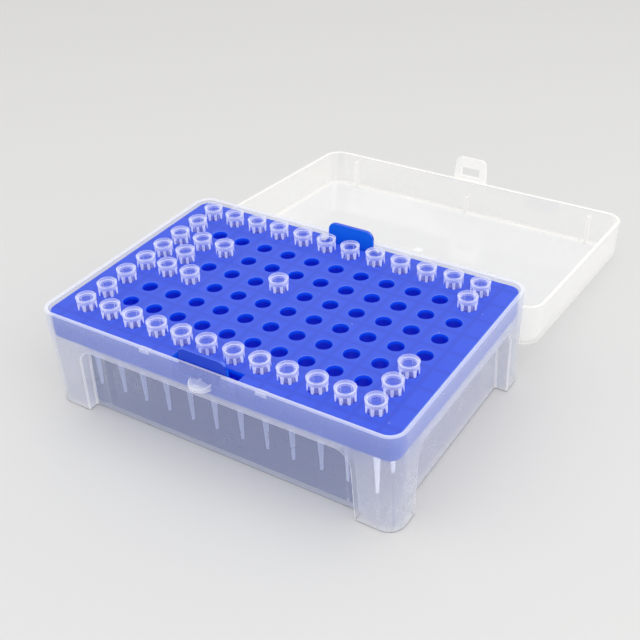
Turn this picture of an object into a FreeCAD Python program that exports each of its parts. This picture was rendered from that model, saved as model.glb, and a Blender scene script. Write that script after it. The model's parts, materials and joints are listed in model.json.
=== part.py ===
"""A hinged box of pipette tips, about two fifths full, with its lid laid open.

Four kinds of piece, each a plastic moulding: the base, the lid that turns on the
base's two hinge pins, the tray that drops into the base, and the tips that hang
in the tray's holes.  Lengths are in millimetres.  The origin is the centre of the
base's footprint on the table.  +X runs along a row of the tray's holes, the hinge
is at the +Y side, the latch at the -Y side, and +Z is up.
"""
import FreeCAD, Part
import math
import os
from FreeCAD import Vector

# --- Driving dimensions ------------------------------------------------------
# Holes of the tray, on the pitch that pipette heads share
pitch = 9.0
columns = 12
rows = 8
hole_radius = 2.5
hole_rim_chamfer = 0.2

# Base: a drafted box whose walls step in between four corner feet
base_margin_x = 11.7           # from the outer holes' centres to the rim's outer face
base_margin_y = 9.7
base_height = 33.7
base_wall = 1.2
base_floor = 1.0
base_corner_radius = 5.3
base_draft = 0.65              # each wall leans in by this much from rim to foot
base_rim_round = 0.4
recess_depth_x = 4.05          # of the stepped-in panels, from the foot's face
recess_depth_y = 3.45
foot_length_x = 13.05          # of a foot along the long wall, at the table
foot_length_y = 10.25          # of a foot along the short wall, at the table
recess_side_draft = 0.9        # each foot is this much longer at the recess's top
recess_corner_radius = 5.0
recess_edge_round = 0.5
recess_root_round = 0.6         # where a panel meets the sides of its recess
foot_round = 0.35               # of the base's outer edges at the table
ledge_thickness = 0.9          # the recesses' roofs, which carry the tray
rib_thickness = 1.0            # stiffening ribs inside the recessed panels
rib_depth = 2.6
rib_inset_x = 4.7              # from a foot's side to the rib beside it
rib_inset_y = 8.0

# Tray: a plate with a skirt, a sleeve under each hole and two lifting tabs
tray_clearance = 0.6
tray_below_rim = 1.1
plate_thickness = 1.6
skirt_depth = 8.2              # from the plate's top
skirt_thickness = 1.2
tray_edge_round = 0.4
sleeve_depth = 6.5
sleeve_wall = 1.0
sleeve_taper = 0.2
web_thickness = 0.8            # webs that run between the sleeves under the plate
web_depth = 2.4
notch_half_width = 11.4
notch_depth = 3.6
pocket_wall = 1.1
pocket_depth = 6.8
tab_width = 16.5
tab_foot_width = 21.0
tab_foot_drop = 0.6            # of the tab's shoulders below the plate's top
tab_thickness = 1.1
tab_height = 5.2               # above the plate
tab_lean = 3.5                 # degrees, outwards
tab_corner_radius = 2.6
tab_edge_round = 0.25

# Nibs on the base's inner wall that hold the tray down, with a dimple outside
nib_offset = 20.0
nib_length = 3.6
nib_height = 0.6
nib_bite = 0.2                 # over the edge of the tray
nib_gap = 0.1                  # above the tray
dimple_length = 3.6
dimple_radius = 1.2
dimple_depth = 0.4

# Catch and hollow for the latch, on the base's front wall
catch_radius = 3.6
catch_drop = 2.6               # of its root, below the plate's top
catch_slope = 0.6              # its top falls by this much towards its lip
catch_thickness = 1.2          # at its lip
catch_gusset = 0.5             # more below, where it leaves the wall
catch_lip_round = 0.3
catch_rib_thickness = 0.8
catch_rib_height = 0.4
hollow_width = 14.4
hollow_drop = 3.7              # below the rim
hollow_depth = 0.3

# Lid: it telescopes over the base's rim
lid_clearance = 0.3
lid_wall = 1.1
lid_roof = 1.1
lid_height = 14.4
lid_draft = 0.3
lid_overlap = 2.2              # of the lid's rim below the base's rim
lid_edge_round = 1.6
lid_inner_round = 1.2
lid_rim_round = 0.35
stop_gap = 0.1                 # between the lid's stop ribs and the base's rim
stop_offset = 50.0
stop_thickness = 1.1
stop_depth = 2.6
middle_rib_start = 6.5         # above the lid's rim
middle_rib_depth = 1.6

# Latch tongue on the lid's front wall
tongue_half_width = 6.7
tongue_end_half_width = 6.0
tongue_reach = 8.9             # below the lid's rim
tongue_root = 1.4              # its hold on the lid's wall, above the rim
tongue_thickness = 1.3
tongue_sink = 0.15             # of its inner face into the lid's wall
tongue_corner_radius = 2.2
tongue_edge_round = 0.3
window_half_width = 3.9
window_start = 1.3             # below the lid's rim
window_end = 4.9
ridge_length = 5.0             # of the tongue's side ridges up the lid's wall
ridge_thickness = 0.9

# Hinges: pins between lugs on the base, clips on the lid
hinge_offset = 34.0            # of each hinge from the middle
pin_radius = 1.0
pin_standoff = 3.0             # of the pins' axis from the rim's outer face
pin_drop = 6.9                 # of the pins' axis below the base's rim
lug_thickness = 2.0
lug_wall = 0.9                 # round the pin
lug_root_depth = 4.8           # height of a lug where it leaves the wall
clip_width = 8.4
clip_side_clearance = 0.3      # between a clip and each lug
clip_bore_clearance = 0.3
clip_wall = 1.0
clip_mouth = 1.7               # narrower than the pin, so the clip snaps on
arm_height = 4.0               # of the clip's arm up the lid's wall
arm_shoulder = 2.5             # above the pins' axis, where the arm slopes in
table_clearance = 0.02         # under the open lid's front edge

# Tips: a ribbed collar on a thin tapered tube, depths taken from the plate's top
tip_collar_radius = 3.1
tip_collar_height = 4.0
tip_band = 1.6                 # height of the collar's plain band
tip_band_taper = 0.12
tip_collar_round = 0.15
tip_mouth_radius = 2.72
tip_mouth_depth = 0.8
tip_socket_radius = 2.3        # where the pipette seals
tip_wall = 0.4
tip_hole_clearance = 0.45      # between the tube and its hole
tip_least_gap = 0.15           # that a tip off its hole's centre still leaves
tip_foot_overlap = 0.42        # of the ribs' feet over the hole's edge
tip_ribs = 8
tip_rib_thickness = 0.85
tip_waist_depth = 7.0
tip_waist_radius = 1.75
tip_stem_depth = 9.0
tip_stem_radius = 1.3
tip_reach = 28.7
tip_end_radius = 0.45
tip_end_bore = 0.22
tip_turn = 137.5               # each tip is turned by this many degrees more

# Tips left in the tray, one line per row from the back row to the front row
tips_left = (
    "TTTTTTTTTTTT",
    "T..........T",
    "TTT.........",
    "TT...T......",
    "TTT.........",
    "T..........T",
    "T..........T",
    "TTTTTTTTTTTT",
)

# --- Values that follow --------------------------------------------------------
overlap = 0.2                  # by which joined pieces of one moulding run together
beyond = 1.0                   # by which cutting shapes run past what they cut

base_length = (columns - 1) * pitch + 2 * base_margin_x
base_width = (rows - 1) * pitch + 2 * base_margin_y
tray_top = base_height - tray_below_rim
ledge_top = tray_top - skirt_depth
recess_top = ledge_top - ledge_thickness
panel_x = base_length / 2 - base_draft - recess_depth_x
panel_y = base_width / 2 - base_draft - recess_depth_y
recess_half_x = base_length / 2 - base_draft - foot_length_x
recess_half_y = base_width / 2 - base_draft - foot_length_y
tray_inset = base_wall + tray_clearance
tray_length = base_length - 2 * tray_inset
tray_width = base_width - 2 * tray_inset
plate_underside = tray_top - plate_thickness
lid_growth = lid_clearance + lid_wall
lid_length = base_length + 2 * lid_growth
lid_width = base_width + 2 * lid_growth
lid_rim_z = base_height - lid_overlap
lid_top_z = lid_rim_z + lid_height
hinge_y = base_width / 2 + pin_standoff
hinge_z = base_height - pin_drop
lug_radius = pin_radius + lug_wall
lug_gap = clip_width + 2 * clip_side_clearance
clip_bore = pin_radius + clip_bore_clearance
clip_radius = clip_bore + clip_wall
tip_tube_radius = hole_radius - tip_hole_clearance
tip_rib_radius = hole_radius + tip_foot_overlap


def lid_open_angle():
    """Degrees that the lid turns back until its front edge lies on the table."""
    ahead = hinge_y + lid_width / 2 - lid_draft - lid_edge_round
    above = lid_top_z - lid_edge_round - hinge_z
    dip = math.asin((hinge_z - lid_edge_round - table_clearance) / math.hypot(ahead, above))
    return 180 - math.degrees(math.atan2(above, ahead)) + math.degrees(dip)


# --- Small makers --------------------------------------------------------------
def rounded_outline(length, width, radius, z):
    """Closed wire of a rectangle with round corners, centred on the Z axis."""
    edges = []
    first = last = None
    for quarter, (side_x, side_y) in enumerate(((1, 1), (-1, 1), (-1, -1), (1, -1))):
        centre_x = side_x * (length / 2 - radius)
        centre_y = side_y * (width / 2 - radius)
        points = []
        for step in (0, 45, 90):
            angle = math.radians(90 * quarter + step)
            points.append(Vector(centre_x + radius * math.cos(angle),
                                 centre_y + radius * math.sin(angle), z))
        if last:
            edges.append(Part.makeLine(last, points[0]))
        else:
            first = points[0]
        edges.append(Part.Arc(*points).toShape())
        last = points[2]
    edges.append(Part.makeLine(last, first))
    return Part.Wire(edges)


def box_between(low, high):
    """Box from its lowest corner to its highest."""
    return Part.makeBox(high[0] - low[0], high[1] - low[1], high[2] - low[2], Vector(*low))


def prism(points, along):
    """Solid swept from a closed polygon along a vector."""
    corners = [Vector(*point) for point in points]
    return Part.Face(Part.makePolygon(corners + corners[:1])).extrude(Vector(*along))


def turned(profile):
    """Solid of revolution about Z from (radius, z) points."""
    corners = [Vector(radius, 0, z) for radius, z in profile]
    face = Part.Face(Part.makePolygon(corners + corners[:1]))
    return face.revolve(Vector(0, 0, 0), Vector(0, 0, 1), 360)


def rounded(shape, radius, test):
    """Shape with a fillet on each edge whose middle and direction pass a test."""
    chosen = []
    for edge in shape.Edges:
        middle = (edge.FirstParameter + edge.LastParameter) / 2
        if test(edge.valueAt(middle), edge.tangentAt(middle)):
            chosen.append(edge)
    return shape.makeFillet(radius, chosen)


def about_z(shape, angle):
    """Copy of a shape turned about the Z axis."""
    copy = shape.copy()
    copy.rotate(Vector(0, 0, 0), Vector(0, 0, 1), angle)
    return copy


def moved(shape, x, y, z):
    """Copy of a shape moved by an offset."""
    copy = shape.copy()
    copy.translate(Vector(x, y, z))
    return copy


# --- Base ----------------------------------------------------------------------
def base_block(inset, low, high):
    """Drafted block that lies inside the base's outer face by an inset."""
    outlines = []
    for z in (low, high):
        lean = inset + base_draft * (1 - z / base_height)
        outlines.append(rounded_outline(base_length - 2 * lean, base_width - 2 * lean,
                                        base_corner_radius - inset, z))
    return Part.makeLoft(outlines, True, True)


def recess_blocks(grow, top):
    """Arch-shaped blocks over the recesses of the four walls, grown by a wall."""
    slope = recess_side_draft / recess_top
    reach = max(recess_depth_x, recess_depth_y) + base_draft + grow + beyond
    blocks = []
    for half_length, panel, turns in ((recess_half_x, panel_y, (0, 180)),
                                      (recess_half_y, panel_x, (90, 270))):
        low = half_length + grow + slope * beyond
        high = half_length + grow - slope * top
        back = grow - panel
        block = prism([(-low, back, -beyond), (low, back, -beyond),
                       (high, back, top), (-high, back, top)], (0, -reach, 0))
        block = rounded(block, recess_corner_radius + grow,
                        lambda point, way: abs(way.y) > 0.99 and point.z > top - 0.1)
        blocks += [about_z(block, turn) for turn in turns]
    return blocks


def rib_blocks():
    """Stiffening ribs that stand inside the recessed panels."""
    ribs = []
    for place, panel, turns in ((recess_half_x - rib_inset_x, panel_y, (0, 180)),
                                (recess_half_y - rib_inset_y, panel_x, (90, 270))):
        wall = panel - base_wall
        for side in (-1, 1):
            rib = box_between((side * place - rib_thickness / 2, -wall - overlap, 0),
                              (side * place + rib_thickness / 2, rib_depth - wall, ledge_top))
            ribs += [about_z(rib, turn) for turn in turns]
    return ribs


def nib_blocks():
    """Wedges above the tray's long edges."""
    wall = base_width / 2 - base_wall
    low = tray_top + nib_gap
    tip = tray_clearance + nib_bite - wall
    nibs = []
    for side in (-1, 1):
        nib = prism([(side * nib_offset - nib_length / 2, -wall - overlap, low),
                     (side * nib_offset - nib_length / 2, tip, low + nib_height / 3),
                     (side * nib_offset - nib_length / 2, -wall - overlap, low + nib_height)],
                    (nib_length, 0, 0))
        nibs += [nib, about_z(nib, 180)]
    return nibs


def catch_shape():
    """Round catch that the lid's tongue snaps under."""
    wall = base_width / 2
    back = hollow_depth + overlap - wall
    root = tray_top - catch_drop
    reach = catch_radius + beyond
    low = root - catch_slope - catch_thickness - catch_gusset
    wedge = prism([(-catch_radius, back, root),
                   (-catch_radius, -wall - reach, root - catch_slope * reach / catch_radius),
                   (-catch_radius, -wall - reach, low + catch_gusset * reach / catch_radius),
                   (-catch_radius, back, low)], (2 * catch_radius, 0, 0))
    drum = Part.makeCylinder(catch_radius, base_height, Vector(0, -wall, 0))
    catch = rounded(wedge.common(drum), catch_lip_round,
                    lambda point, way: point.y < -wall - 0.5 and abs(way.x) > 0.9)
    half = catch_rib_thickness / 2
    tip = catch_lip_round - wall - catch_radius
    rise = prism([(-half, back, root), (-half, back - overlap, root + catch_rib_height),
                  (-half, tip, root - catch_slope - overlap),
                  (-half, back, root - catch_slope - overlap)], (catch_rib_thickness, 0, 0))
    return catch.fuse(rise)


def hinge_lugs():
    """Lugs and pins at the back wall that carry the lid."""
    wall = base_width / 2 - base_draft - overlap
    top = hinge_z + lug_radius
    shapes = []
    for side in (-1, 1):
        start = side * hinge_offset - lug_gap / 2 - lug_thickness
        for x in (start, start + lug_thickness + lug_gap):
            shapes.append(prism([(x, wall, top), (x, hinge_y, top),
                                 (x, hinge_y, hinge_z - lug_radius),
                                 (x, wall, top - lug_root_depth)], (lug_thickness, 0, 0)))
            shapes.append(Part.makeCylinder(lug_radius, lug_thickness,
                                            Vector(x, hinge_y, hinge_z), Vector(1, 0, 0)))
        shapes.append(Part.makeCylinder(pin_radius, lug_gap + 2 * overlap,
                                        Vector(start + lug_thickness - overlap, hinge_y, hinge_z),
                                        Vector(1, 0, 0)))
    return shapes


def base_shape():
    """Open box with recessed walls, ledges for the tray, catch and hinge pins."""
    cavity = base_block(base_wall, base_floor, base_height + beyond)
    cavity = cavity.cut(recess_blocks(base_wall, ledge_top) + rib_blocks() + nib_blocks())
    body = base_block(0, 0, base_height).cut(recess_blocks(0, recess_top))
    body = rounded(body, recess_edge_round, lambda point, way: (
        0.01 < point.z < recess_top + 0.01
        and (abs(point.x) > base_length / 2 - base_draft - 0.01
             or abs(point.y) > base_width / 2 - base_draft - 0.01)
        and (abs(point.x) < recess_half_x + 0.01 or abs(point.y) < recess_half_y + 0.01)))
    body = rounded(body, recess_root_round, lambda point, way: (
        0.01 < point.z < recess_top + 0.01
        and (abs(abs(point.x) - panel_x) < 0.01 and abs(point.y) < recess_half_y + 0.01
             or abs(abs(point.y) - panel_y) < 0.01 and abs(point.x) < recess_half_x + 0.01)))
    body = rounded(body, foot_round, lambda point, way: point.z < 0.01)
    body = body.cut(cavity)
    body = rounded(body, base_rim_round, lambda point, way: point.z > base_height - 0.01)

    front = -base_width / 2
    hollow = box_between((-hollow_width / 2, front - beyond, base_height - hollow_drop),
                         (hollow_width / 2, front + hollow_depth, base_height + beyond))
    cuts = [hollow]
    for side in (-1, 1):
        dimple = Part.makeCylinder(
            dimple_radius, dimple_length,
            Vector(side * nib_offset - dimple_length / 2, front + dimple_depth - dimple_radius,
                   tray_top), Vector(1, 0, 0))
        cuts += [dimple, about_z(dimple, 180)]
    return body.cut(cuts).fuse([catch_shape()] + hinge_lugs())


# --- Lid -----------------------------------------------------------------------
def lid_block(inset, low, high, edge_round):
    """Drafted block inside the lid's outer face, its top edge rounded."""
    outlines = []
    for z in (low, high):
        lean = inset + lid_draft * (z - lid_rim_z) / lid_height
        outlines.append(rounded_outline(lid_length - 2 * lean, lid_width - 2 * lean,
                                        base_corner_radius + lid_growth - inset, z))
    block = Part.makeLoft(outlines, True, True)
    return rounded(block, edge_round, lambda point, way: point.z > high - 0.01)


def lid_ribs():
    """Ribs inside the lid: four that stop on the base's rim and one at the latch."""
    wall = lid_width / 2 - lid_wall
    ribs = []
    for side in (-1, 1):
        x = side * stop_offset
        rib = box_between((x - stop_thickness / 2, -wall - overlap, base_height + stop_gap),
                          (x + stop_thickness / 2, stop_depth - wall, lid_top_z))
        ribs += [rib, about_z(rib, 180)]
    ribs.append(box_between(
        (-stop_thickness / 2, -wall - overlap, lid_rim_z + middle_rib_start),
        (stop_thickness / 2, middle_rib_depth - wall, lid_top_z)))
    return ribs


def tongue_shape():
    """Latch tongue with its window, hanging from the lid's front wall."""
    inner = tongue_sink - lid_width / 2
    outer = inner - tongue_thickness
    end = lid_rim_z - tongue_reach
    top = lid_rim_z + tongue_root
    plate = prism([(-tongue_half_width, outer, top), (tongue_half_width, outer, top),
                   (tongue_half_width, outer, lid_rim_z - window_start),
                   (tongue_end_half_width, outer, end), (-tongue_end_half_width, outer, end),
                   (-tongue_half_width, outer, lid_rim_z - window_start)],
                  (0, tongue_thickness, 0))
    plate = rounded(plate, tongue_corner_radius,
                    lambda point, way: abs(way.y) > 0.9 and point.z < end + 0.01)
    plate = rounded(plate, tongue_edge_round, lambda point, way: point.y < outer + 0.01)
    window = box_between((-window_half_width, outer - beyond, lid_rim_z - window_end),
                         (window_half_width, inner + beyond, lid_rim_z - window_start))
    ridges = []
    for x in (-tongue_half_width, tongue_half_width - ridge_thickness):
        ridges.append(prism([(x, inner + lid_draft, lid_rim_z + ridge_length),
                             (x, inner + lid_draft, lid_rim_z),
                             (x, outer + tongue_edge_round, lid_rim_z),
                             (x, outer + tongue_edge_round, top)], (ridge_thickness, 0, 0)))
    return plate.cut(window).fuse(ridges)


def clip_shapes():
    """Clips on the lid's back wall that snap over the base's pins."""
    wall = lid_width / 2 - tongue_sink - lid_draft
    inner = hinge_y - clip_radius
    outer = hinge_y + clip_radius
    clips = []
    for side in (-1, 1):
        x = side * hinge_offset - clip_width / 2
        arm = prism([(x, inner, hinge_z), (x, outer, hinge_z),
                     (x, outer, hinge_z + arm_shoulder),
                     (x, wall + tongue_sink, lid_rim_z + arm_height),
                     (x, wall, lid_rim_z + arm_height), (x, inner, lid_rim_z + overlap)],
                    (clip_width, 0, 0))
        ring = Part.makeCylinder(clip_radius, clip_width, Vector(x, hinge_y, hinge_z),
                                 Vector(1, 0, 0))
        bore = Part.makeCylinder(clip_bore, clip_width + 2 * beyond,
                                 Vector(x - beyond, hinge_y, hinge_z), Vector(1, 0, 0))
        mouth = box_between((x - beyond, hinge_y - clip_mouth / 2, hinge_z - clip_radius - beyond),
                            (x + clip_width + beyond, hinge_y + clip_mouth / 2, hinge_z))
        clips.append(arm.fuse(ring).cut([bore, mouth]))
    return clips


def lid_shape():
    """Lid in its closed place over the base."""
    cavity = lid_block(lid_wall, lid_rim_z - beyond, lid_top_z - lid_roof, lid_inner_round)
    body = lid_block(0, lid_rim_z, lid_top_z, lid_edge_round).cut(cavity.cut(lid_ribs()))
    body = rounded(body, lid_rim_round, lambda point, way: point.z < lid_rim_z + 0.01)
    return body.fuse([tongue_shape()] + clip_shapes())


# --- Tray ----------------------------------------------------------------------
def hole_centres():
    """(row, column, x, y) of every hole, from the back row and the -X column."""
    return [(row, column, (column - (columns - 1) / 2) * pitch,
             ((rows - 1) / 2 - row) * pitch)
            for row in range(rows) for column in range(columns)]


def tray_block(inset, low, high):
    """Block inside the tray's outer face by an inset."""
    outline = rounded_outline(tray_length - 2 * inset, tray_width - 2 * inset,
                              base_corner_radius - tray_inset - inset, low)
    return Part.Face(outline).extrude(Vector(0, 0, high - low))


def under_plate():
    """Sleeves, webs and the two tabs' pockets that fill the hollow under the plate."""
    top = plate_underside + overlap
    sleeve_radius = hole_radius + sleeve_wall
    sleeve_low = tray_top - sleeve_depth
    fills = [Part.makeCone(sleeve_radius - sleeve_taper, sleeve_radius, top - sleeve_low,
                           Vector(x, y, sleeve_low)) for _, _, x, y in hole_centres()]
    web_low = plate_underside - web_depth
    half = web_thickness / 2
    for count, gap_x, gap_y in ((columns, 1, 0), (rows, 0, 1)):
        for index in range(1, count):
            place = (index - count / 2) * pitch
            reach_x = place if gap_x else tray_length / 2
            reach_y = place if gap_y else tray_width / 2
            low_x = reach_x - half if gap_x else -reach_x
            low_y = reach_y - half if gap_y else -reach_y
            fills.append(box_between((low_x, low_y, web_low),
                                     (reach_x + half * gap_x, reach_y + half * gap_y, top)))
    pocket = box_between(
        (-notch_half_width - pocket_wall, -tray_width / 2,
         tray_top - pocket_depth - pocket_wall),
        (notch_half_width + pocket_wall, notch_depth + pocket_wall - tray_width / 2, top))
    return fills + [pocket, about_z(pocket, 180)]


def tab_shape():
    """Upright tab at the front edge of the tray."""
    outer = -tray_width / 2
    shoulder = tray_top - tab_foot_drop
    neck = shoulder - (tab_foot_width - tab_width) / 2
    low = tray_top - pocket_depth - overlap
    half, foot = tab_width / 2, tab_foot_width / 2
    top = tray_top + tab_height
    tab = prism([(-foot, outer, low), (foot, outer, low), (foot, outer, neck),
                 (half, outer, shoulder), (half, outer, top), (-half, outer, top),
                 (-half, outer, shoulder), (-foot, outer, neck)], (0, tab_thickness, 0))
    tab = rounded(tab, tab_corner_radius,
                  lambda point, way: abs(way.y) > 0.9 and point.z > top - 0.01)
    tab = rounded(tab, tab_edge_round,
                  lambda point, way: abs(way.y) < 0.1 and point.z > shoulder)
    tab.rotate(Vector(0, outer, low), Vector(1, 0, 0), tab_lean)
    return tab


def tray_shape():
    """Perforated plate with its skirt, sleeves, webs, pockets and tabs."""
    body = tray_block(0, ledge_top, tray_top)
    body = rounded(body, tray_edge_round, lambda point, way: point.z > tray_top - 0.01)
    hollow = tray_block(skirt_thickness, ledge_top - beyond, plate_underside)
    body = body.cut(hollow.cut(under_plate()))

    hole = turned([(0, ledge_top), (hole_radius, ledge_top),
                   (hole_radius, tray_top - hole_rim_chamfer),
                   (hole_radius + hole_rim_chamfer + beyond, tray_top + beyond),
                   (0, tray_top + beyond)])
    cuts = [moved(hole, x, y, 0) for _, _, x, y in hole_centres()]
    notch = box_between((-notch_half_width, -tray_width / 2 - beyond, tray_top - pocket_depth),
                        (notch_half_width, notch_depth - tray_width / 2, tray_top + beyond))
    cuts += [notch, about_z(notch, 180)]
    tab = tab_shape()
    return body.cut(cuts).fuse([tab, about_z(tab, 180)])


# --- Tips ----------------------------------------------------------------------
def tip_shape():
    """Tip that stands on the level z = 0 with its tube hanging below."""
    band_low = tip_collar_height - tip_band
    band_radius = tip_collar_radius - tip_band_taper
    seat = tip_collar_height - tip_mouth_depth
    core_radius = tip_socket_radius + tip_wall
    body = turned([
        (tip_mouth_radius + tip_collar_round, tip_collar_height),
        (tip_collar_radius - tip_collar_round, tip_collar_height),
        (tip_collar_radius, tip_collar_height - tip_collar_round),
        (band_radius, band_low),
        (core_radius, band_low),
        (tip_tube_radius, 0),
        (tip_waist_radius, -tip_waist_depth),
        (tip_stem_radius, -tip_stem_depth),
        (tip_end_radius, -tip_reach),
        (tip_end_bore, -tip_reach),
        (tip_stem_radius - tip_wall, -tip_stem_depth),
        (tip_waist_radius - tip_wall, -tip_waist_depth),
        (tip_tube_radius - tip_wall, 0),
        (tip_socket_radius, seat),
        (tip_mouth_radius, seat),
        (tip_mouth_radius, tip_collar_height - tip_collar_round),
    ])
    half = tip_rib_thickness / 2
    middle = tip_wall / 2
    rib = prism([(tip_tube_radius - middle, -half, 0), (tip_rib_radius, -half, 0),
                 (tip_rib_radius, -half, band_low + overlap),
                 (core_radius - middle, -half, band_low + overlap)],
                (0, tip_rib_thickness, 0))
    rib = rounded(rib, half - 0.02, lambda point, way: abs(way.x) > 0.99 and point.z < 0.01)
    return body.fuse([about_z(rib, 360 * index / tip_ribs) for index in range(tip_ribs)])


def tips_in_place():
    """Named tips in their holes, each turned and set off centre a little."""
    pattern = tip_shape()
    play = tip_hole_clearance - tip_least_gap
    placed = []
    for row, column, x, y in hole_centres():
        if row >= len(tips_left) or tips_left[row][column:column + 1] != "T":
            continue
        turn = tip_turn * (len(placed) + 1)
        off = play * (turn / 100 % 1)
        tip = moved(about_z(pattern, turn), x + off * math.cos(math.radians(turn)),
                    y + off * math.sin(math.radians(turn)), tray_top)
        placed.append(("tip_" + chr(ord("A") + row) + str(column + 1), tip))
    return placed


# --- Build and export ------------------------------------------------------------
lid = lid_shape()
lid.rotate(Vector(0, hinge_y, hinge_z), Vector(1, 0, 0), -lid_open_angle())
pieces = [("base", base_shape()), ("lid", lid), ("tray", tray_shape())] + tips_in_place()

os.makedirs("parts", exist_ok=True)
for name, shape in pieces:
    if len(shape.Solids) != 1 or not shape.isValid():
        raise RuntimeError(name + " is not one sound solid")
    shape.Solids[0].exportStep("parts/" + name + ".step")
print("lid opens by", round(lid_open_angle(), 3), "degrees")
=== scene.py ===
"""Finishes, stage and camera for an open box of pipette tips."""
import json
import math

import bpy
import numpy as np
from mathutils import Matrix, Vector


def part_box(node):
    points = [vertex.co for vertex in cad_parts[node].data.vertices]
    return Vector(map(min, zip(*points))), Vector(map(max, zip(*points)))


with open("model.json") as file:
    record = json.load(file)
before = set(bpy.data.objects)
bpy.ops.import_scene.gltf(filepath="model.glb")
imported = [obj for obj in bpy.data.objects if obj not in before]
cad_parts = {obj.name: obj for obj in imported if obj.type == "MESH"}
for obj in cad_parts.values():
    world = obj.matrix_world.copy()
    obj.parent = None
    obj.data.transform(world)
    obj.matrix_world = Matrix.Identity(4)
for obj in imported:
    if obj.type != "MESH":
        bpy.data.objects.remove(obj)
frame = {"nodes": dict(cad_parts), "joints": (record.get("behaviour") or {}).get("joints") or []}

bl_info = {
    "name": "Pipette Tip Box",
    "version": (1, 0, 0),
    "blender": (4, 5, 0),
    "location": "View3D > Sidebar > Tip Box",
    "description": "Finishes a rack box of pipette tips and sets it on a pale stage",
    "category": "Object",
}

TRAY_LOW, TRAY_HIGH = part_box("tray")
LID_LOW, LID_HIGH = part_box("lid")
BASE_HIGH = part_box("base")[1]
WHITE = (1.0, 1.0, 1.0, 1.0)
BLACK = (0.0, 0.0, 0.0)

# Clear plastics: a gate scar's height over the grain and its milkiness; how the skin reflects more edge on;
# the gain, the brightest colour and the least share of the stand-in that scattered light meets; the roughness
# and the shine of faces too curved or too dull to mirror a lamp
GATE_HEIGHT, GATE_HAZE = 6.0, 0.35
SKIN_POWER, SKIN_EDGE_ON = 4.0, 0.85
STAND_IN_GAIN, STAND_IN_BRIGHTEST, STAND_IN_LEAST = 2.0, 0.9, 0.1
ROUGH_SKIN, DULL_SHINE = 0.35, 0.05

# The tray: between which upward parts of the normal a face turns level, rounded, no longer rounded and no
# longer upright; the colours and shares of the painted highlight on rounded rims, of the painted shade along
# the sink lines, and of dust; the sink lines' depth; the shade of darker patches; the width of the plate's edge
# that holds no holes; and by how many pitches the sink lines' coordinates are moved, so that they stay positive
LEVEL, ROUNDED, NOT_ROUNDED, NOT_UPRIGHT = (0.8, 0.95), (0.35, 0.55), (0.85, 0.97), (0.2, 0.5)
RIM_HIGHLIGHT_COLOUR, SINK_SHADE_COLOUR, DUST_COLOUR = (0.18, 0.22, 0.82), (0.02, 0.02, 0.40), (0.60, 0.65, 0.85)
RIM_HIGHLIGHT_SHARE, SINK_SHADE_SHARE, DUST_SHARE = 0.5, 0.22, 0.6
SUNK_DEPTH = 1.6
SHADED_SHARE = 0.92
EDGE_STRIP = 0.004
PITCHES_ASIDE = 90.0

# For picking faces: play in metres for where they lie; the cosines from which a face looks squarely along an
# axis or along it, and under which it looks across it
HAIR, PLAY, WALL_PLAY, LEDGE_PLAY, FOOT_REACH = 0.0002, 0.0004, 0.0015, 0.0012, 0.006
SQUARE_ON, ALONG, ACROSS = 0.9, 0.7, 0.5

# The stage: the floor's size, which way its painted shade darkens it and where it does, and where painted light
# fades it lighter; the lamps' places and shares of the power; the surround as it is seen; the camera
FLOOR_RADIUS, FLOOR_SIDES = 3.0, 64
FLOOR_AWAY = {"X": -0.55, "Y": 0.83}
FLOOR_TURNS, FLOOR_FADES, PAINTED_LIGHT_FAR_FLOOR = (-0.25, 0.6), (0.7, 2.0), (0.93, 0.93, 0.93)
LAMP_SIZE, LAMP_TARGET = 0.8, (0.0, 0.03, 0.0)
LAMPS = (
    ("Right lamp", (0.85, -0.05, 0.75), 0.95),
    ("Left lamp", (-0.62, -0.45, 0.85), 0.5),
    ("Top lamp", (0.05, 0.20, 1.0), 0.4),
)
SHOWN_SURROUND, SHOWN_STRENGTH = (0.80, 0.80, 0.80, 1), 0.95
SENSOR_WIDTH, LENS = 36.0, 58.393
CAMERA_PLACE = (0.1528, -0.2105)
CAMERA_RIGHT, CAMERA_AHEAD = (0.8463, 0.5312, -0.0397), (-0.4583, 0.6881, -0.5626)


# ------------------------ sizes and colours that can be changed


FACTOR = {"subtype": "FACTOR", "min": 0, "max": 1}
COLOUR = {"subtype": "COLOR", "size": 3, "min": 0, "max": 1}
LENGTH = {"subtype": "DISTANCE", "unit": "LENGTH", "min": 0}


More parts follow.
